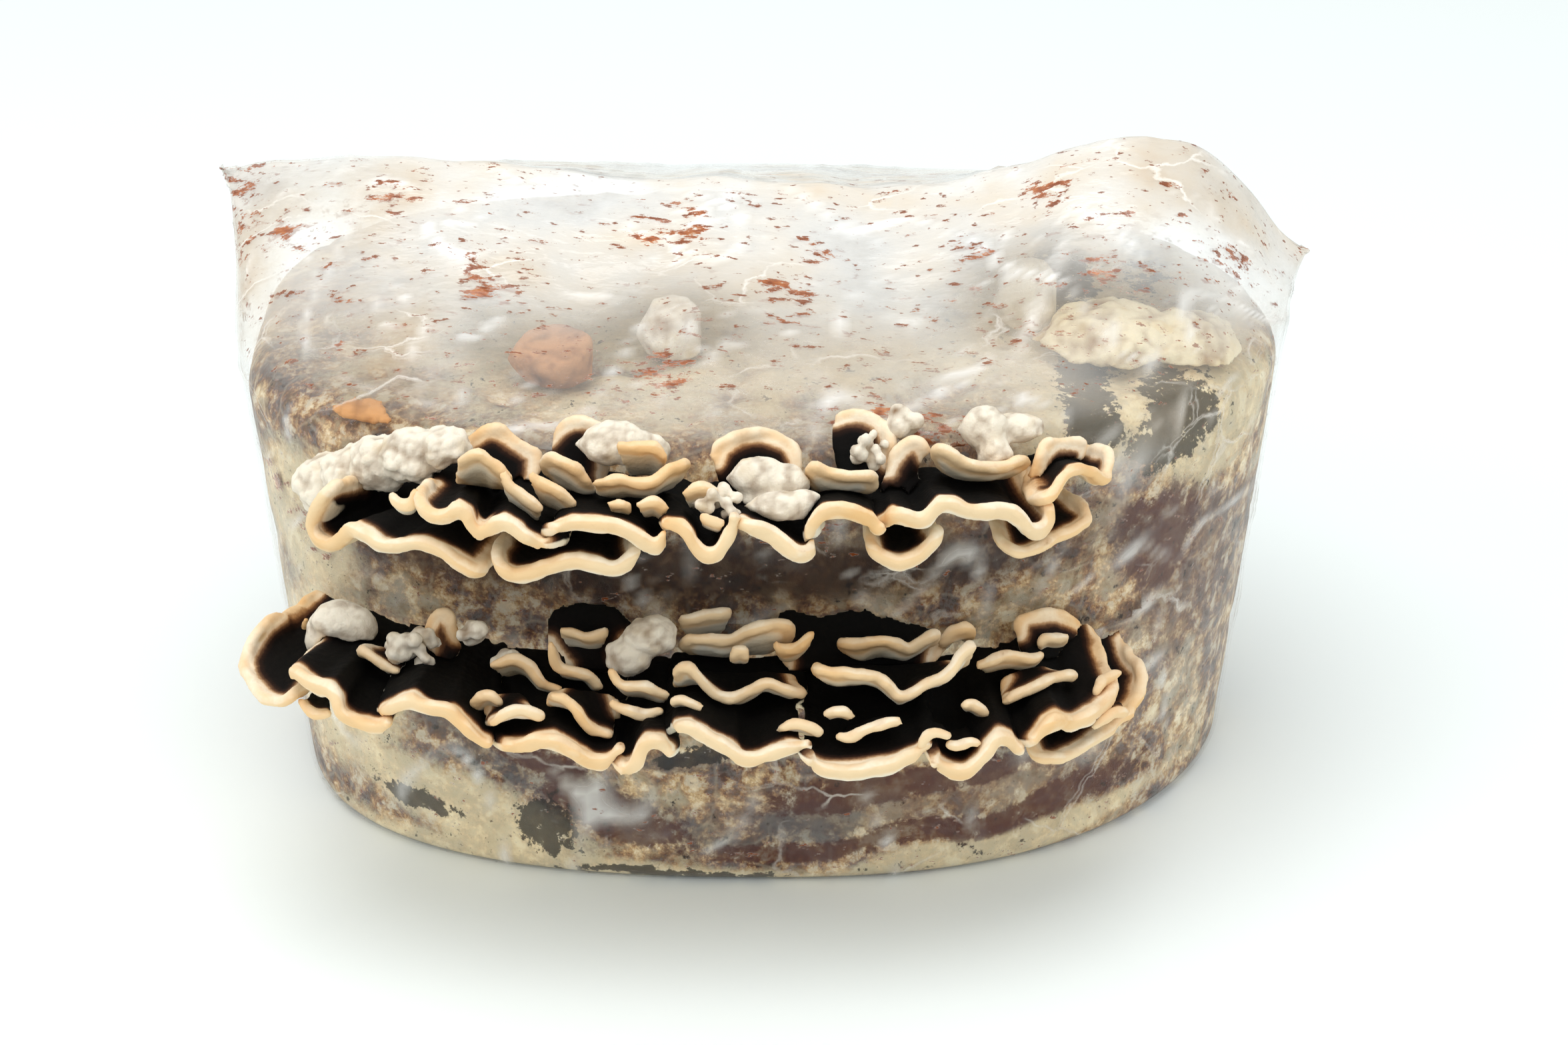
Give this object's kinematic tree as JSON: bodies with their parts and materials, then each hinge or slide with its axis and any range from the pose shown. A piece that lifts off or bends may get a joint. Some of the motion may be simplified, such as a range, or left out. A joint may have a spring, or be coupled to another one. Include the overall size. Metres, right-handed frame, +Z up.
{
  "type": "turkey tail mushroom cluster",
  "caption": "Two tiers of ruffled dark shelf mushrooms with cream rims, fruiting through slits in the front of a clear film bag packed round a mycelium-grown sawdust block.",
  "frame": {"origin": "under the middle of the whole object's box, on the plane it stands on", "axes": "+X to the right along the row of shelves, +Y towards the back, +Z up; the mushrooms face -Y"},
  "size_m": [0.238, 0.1904, 0.1389],
  "materials": {
    "mycelium_block": "mottled, grown through with mycelium",
    "film": "clear glossy film with a milky haze",
    "breather": "matte spun-bonded patch",
    "cap": "black velvet with a cream rim and pale pored underside",
    "pale_growth": "matte, lumpy, off-white",
    "resting_growth": "matte, knobbly, cream to tan"
  },
  "bodies": {
    "root": {"crust_cream": "resting_growth", "filter_patch": "breather", "grow_bag": "film", "knob_brown": "resting_growth", "knob_orange": "resting_growth", "knob_upright": "resting_growth", "knob_white": "resting_growth", "lower_arch_cap": "cap", "lower_back_arch": "cap", "lower_back_rim": "cap", "lower_fan": "cap", "lower_fold": "cap", "lower_left_end": "cap", "lower_loop": "cap", "lower_low_right": "cap", "lower_pale_mass": "pale_growth", "lower_ribbon_back": "cap", "lower_ribbon_front": "cap", "lower_ribbon_left": "cap", "lower_ribbon_right": "cap", "lower_rosette": "cap", "lower_s_ribbon": "cap", "lower_shelf_a": "cap", "lower_shelf_b": "cap", "lower_shelf_c": "cap", "lower_shelf_d": "cap", "lower_shelf_e": "cap", "lower_shelf_f": "cap", "lower_shelf_g": "cap", "lower_shelf_h": "cap", "lower_v_ribbon": "cap", "lower_white_mass": "pale_growth", "substrate_block": "mycelium_block", "upper_arch_a": "cap", "upper_arch_b": "cap", "upper_bowl": "cap", "upper_cup_back": "cap", "upper_cup_wing": "cap", "upper_fan": "cap", "upper_fold": "cap", "upper_low_lobe": "cap", "upper_low_lobe_right": "cap", "upper_low_right": "cap", "upper_pale_cap": "pale_growth", "upper_pale_petal": "pale_growth", "upper_pale_rosette": "pale_growth", "upper_ribbon_mid": "cap", "upper_ribbon_right": "cap", "upper_right_back": "cap", "upper_right_end": "cap", "upper_shelf_a": "cap", "upper_shelf_b": "cap", "upper_shelf_c": "cap", "upper_shelf_d": "cap", "upper_shelf_e": "cap", "upper_shelf_f": "cap", "upper_shelf_west": "cap", "upper_tongue": "cap", "upper_white_mass": "pale_growth", "upper_white_stem": "pale_growth"}
  },
  "joints": []
}
